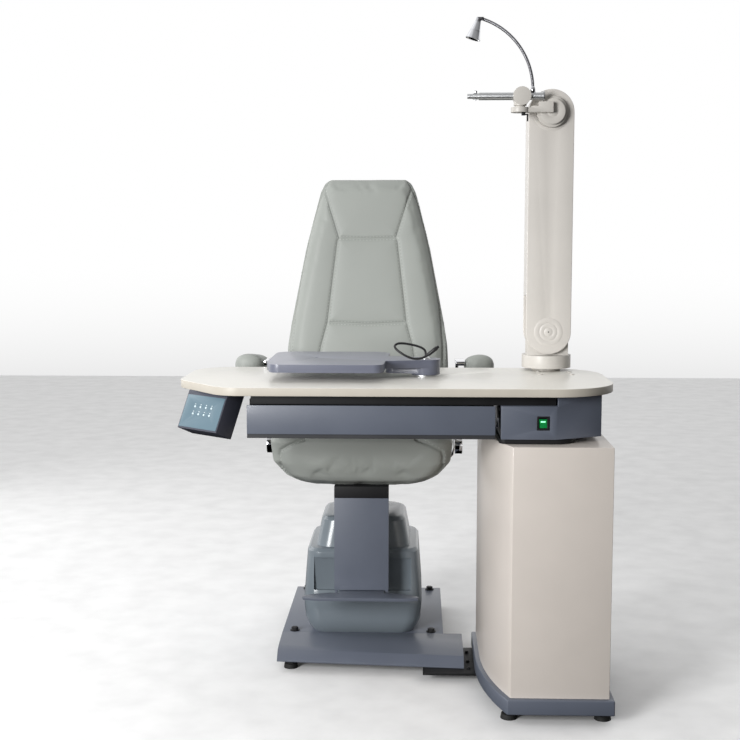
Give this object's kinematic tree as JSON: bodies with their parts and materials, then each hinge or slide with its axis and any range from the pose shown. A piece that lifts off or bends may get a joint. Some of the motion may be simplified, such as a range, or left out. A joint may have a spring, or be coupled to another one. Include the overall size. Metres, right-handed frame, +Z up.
{
  "type": "ophthalmic combination table with chair",
  "caption": "Examination chair joined to a swing table with a drawer, control box, instrument tray, folding head arm and a lamp on a bow.",
  "frame": {"origin": "on the floor under the middle of the whole unit", "axes": "+X to the right seen from the examiner's side, +Y away from the examiner, +Z up"},
  "size_m": [1.09, 1.0233, 1.7477],
  "materials": {
    "slate_metal": "satin powder coat",
    "cream_metal": "satin enamel",
    "ivory_shell": "satin moulded shell",
    "ivory_metal": "satin enamel on cast aluminium",
    "table_laminate": "ivory laminate on board",
    "tray_enamel": "satin enamel",
    "black_metal": "matt black paint",
    "foot_rubber": "matt black rubber",
    "cover_plastic": "glossy formed plastic",
    "steel": "turned and ground",
    "chrome": "bright chrome",
    "gooseneck_steel": "satin wound steel",
    "leather": "grey-green grained leatherette",
    "back_shell": "grained grey shell",
    "box_plastic": "fine moulded texture",
    "panel_film": "printed film",
    "key_film": "domed film",
    "black_plastic": "satin black",
    "green_lens": "translucent green",
    "coil_steel": "lacquered laminations",
    "bulb_glass": "frosted bulb",
    "cable_rubber": "matt black sheath"
  },
  "bodies": {
    "base": {"base_plate": "slate_metal", "front_channel": "slate_metal", "levelling_feet": "foot_rubber", "joining_plate": "black_metal", "base_fasteners": "black_metal", "plinth": "slate_metal", "cabinet_shell": "cream_metal", "transformer": "coil_steel", "mains_inlet": "black_plastic", "swing_post": "steel", "pedestal_cover": "cover_plastic", "lift_tube": "steel", "lift_motor": "black_plastic"},
    "chair": {"lift_column": "steel", "leg_post": "slate_metal", "seat_pan": "black_metal", "seat_cushion": "leather", "backrest_shell": "back_shell", "backrest_cushion": "leather", "armrest_hubs": "chrome"},
    "armrest_left": {"armrest_left_arm": "chrome", "armrest_left_pad": "leather"},
    "armrest_right": {"armrest_right_arm": "chrome", "armrest_right_pad": "leather"},
    "footrest": {"footplate": "slate_metal"},
    "table": {"tabletop": "table_laminate", "underframe": "black_metal", "swing_base": "black_metal", "side_housing": "slate_metal", "rocker_bezel": "black_plastic", "control_box": "box_plastic", "control_panel": "panel_film", "column_foot": "ivory_metal", "tray_pivot": "steel", "tray_cable": "cable_rubber", "cable_plug": "black_plastic"},
    "drawer_box": {"drawer": "slate_metal"},
    "rocker": {"rocker_switch": "green_lens"},
    "button_1": {"key_1": "key_film"},
    "button_2": {"key_2": "key_film"},
    "button_3": {"key_3": "key_film"},
    "button_4": {"key_4": "key_film"},
    "button_5": {"key_5": "key_film"},
    "button_6": {"key_6": "key_film"},
    "button_7": {"key_7": "key_film"},
    "button_8": {"key_8": "key_film"},
    "tray_plate": {"tray": "tray_enamel"},
    "column": {"column_neck": "ivory_metal"},
    "arm": {"arm_front_shell": "ivory_shell", "arm_rear_shell": "ivory_shell", "arm_beam": "steel"},
    "link": {"arm_link": "steel"},
    "head_carrier": {"head_bracket": "ivory_metal"},
    "head": {"head_block": "ivory_metal", "head_rod": "steel"},
    "clamp_screw": {"thumbscrew": "chrome"},
    "clamp_lever": {"lock_lever": "black_metal"},
    "lamp_neck": {"gooseneck": "gooseneck_steel"},
    "lamp": {"lamp_shade": "chrome", "lamp_bulb": "bulb_glass"}
  },
  "joints": [
    {"name": "chair_lift", "type": "slide", "parent": "base", "child": "chair", "axis": [0, 0, 1], "range_m": [-0.06, 0.11]},
    {"name": "armrest_left_fold", "type": "hinge", "parent": "chair", "child": "armrest_left", "pos_m": [-0.3605, 0.15, 0.578], "axis": [-1, 0, 0], "range_deg": [0, 90]},
    {"name": "armrest_right_fold", "type": "hinge", "parent": "chair", "child": "armrest_right", "pos_m": [0.1725, 0.15, 0.578], "axis": [-1, 0, 0], "range_deg": [0, 90]},
    {"name": "footplate_fold", "type": "hinge", "parent": "chair", "child": "footrest", "pos_m": [-0.094, -0.085, 0.19], "axis": [-1, 0, 0], "range_deg": [0, 85]},
    {"name": "table_swing", "type": "hinge", "parent": "base", "child": "table", "pos_m": [0.377, -0.262, 0.55], "axis": [0, 0, 1], "range_deg": [0, 90]},
    {"name": "drawer_slide", "type": "slide", "parent": "table", "child": "drawer_box", "axis": [0, -1, 0], "range_m": [0, 0.25]},
    {"name": "rocker_tilt", "type": "hinge", "parent": "table", "child": "rocker", "pos_m": [0.36, -0.466, 0.735], "axis": [-1, 0, 0], "range_deg": [0, 14]},
    {"name": "button_1_press", "type": "slide", "parent": "table", "child": "button_1", "axis": [0.5872, 0.6998, -0.4068], "range_m": [0, 0.0005], "stiffness_N_per_m": 2000},
    {"name": "button_2_press", "type": "slide", "parent": "table", "child": "button_2", "axis": [0.5872, 0.6998, -0.4068], "range_m": [0, 0.0005], "stiffness_N_per_m": 2000},
    {"name": "button_3_press", "type": "slide", "parent": "table", "child": "button_3", "axis": [0.5872, 0.6998, -0.4068], "range_m": [0, 0.0005], "stiffness_N_per_m": 2000},
    {"name": "button_4_press", "type": "slide", "parent": "table", "child": "button_4", "axis": [0.5872, 0.6998, -0.4068], "range_m": [0, 0.0005], "stiffness_N_per_m": 2000},
    {"name": "button_5_press", "type": "slide", "parent": "table", "child": "button_5", "axis": [0.5872, 0.6998, -0.4068], "range_m": [0, 0.0005], "stiffness_N_per_m": 2000},
    {"name": "button_6_press", "type": "slide", "parent": "table", "child": "button_6", "axis": [0.5872, 0.6998, -0.4068], "range_m": [0, 0.0005], "stiffness_N_per_m": 2000},
    {"name": "button_7_press", "type": "slide", "parent": "table", "child": "button_7", "axis": [0.5872, 0.6998, -0.4068], "range_m": [0, 0.0005], "stiffness_N_per_m": 2000},
    {"name": "button_8_press", "type": "slide", "parent": "table", "child": "button_8", "axis": [0.5872, 0.6998, -0.4068], "range_m": [0, 0.0005], "stiffness_N_per_m": 2000},
    {"name": "tray_swing", "type": "hinge", "parent": "table", "child": "tray_plate", "pos_m": [0.08, -0.205, 0.85], "axis": [0, 0, 1], "range_deg": [-30, 90]},
    {"name": "column_swivel", "type": "hinge", "parent": "table", "child": "column", "pos_m": [0.409, -0.045, 0.8], "axis": [0, 0, 1], "range_deg": [-20, 90]},
    {"name": "arm_tilt", "type": "hinge", "parent": "column", "child": "arm", "pos_m": [0.409, -0.05, 0.926], "axis": [0, -1, 0], "range_deg": [0, 75]},
    {"name": "link_tilt", "type": "hinge", "parent": "column", "child": "link", "pos_m": [0.433, -0.084, 0.944], "axis": [0, -1, 0], "range_deg": [0, 75]},
    {"name": "head_level", "type": "hinge", "parent": "arm", "child": "head_carrier", "pos_m": [0.409, -0.09, 1.506], "axis": [0, 1, 0], "range_deg": [0, 75]},
    {"name": "head_swivel", "type": "hinge", "parent": "head_carrier", "child": "head", "pos_m": [0.3235, -0.125, 1.53], "axis": [0, 0, 1], "range_deg": [-60, 0]},
    {"name": "clamp_screw_turn", "type": "hinge", "parent": "head", "child": "clamp_screw", "pos_m": [0.207, -0.125, 1.55], "axis": [0, 0, 1], "range_deg": [-180, 180]},
    {"name": "clamp_lever_turn", "type": "hinge", "parent": "head_carrier", "child": "clamp_lever", "pos_m": [0.3315, -0.133, 1.498], "axis": [0, 0, 1], "range_deg": [-40, 40]},
    {"name": "lamp_neck_swivel", "type": "hinge", "parent": "head", "child": "lamp_neck", "pos_m": [0.356, -0.125, 1.55], "axis": [0, 0, 1], "range_deg": [-90, 90]},
    {"name": "lamp_tilt", "type": "hinge", "parent": "lamp_neck", "child": "lamp", "pos_m": [0.21421, -0.125, 1.7417], "axis": [0, 1, 0], "range_deg": [-30, 30]}
  ],
  "couplings": [
    {"joint": "link_tilt", "follows": "arm_tilt", "ratio": 1},
    {"joint": "head_level", "follows": "arm_tilt", "ratio": 1}
  ]
}
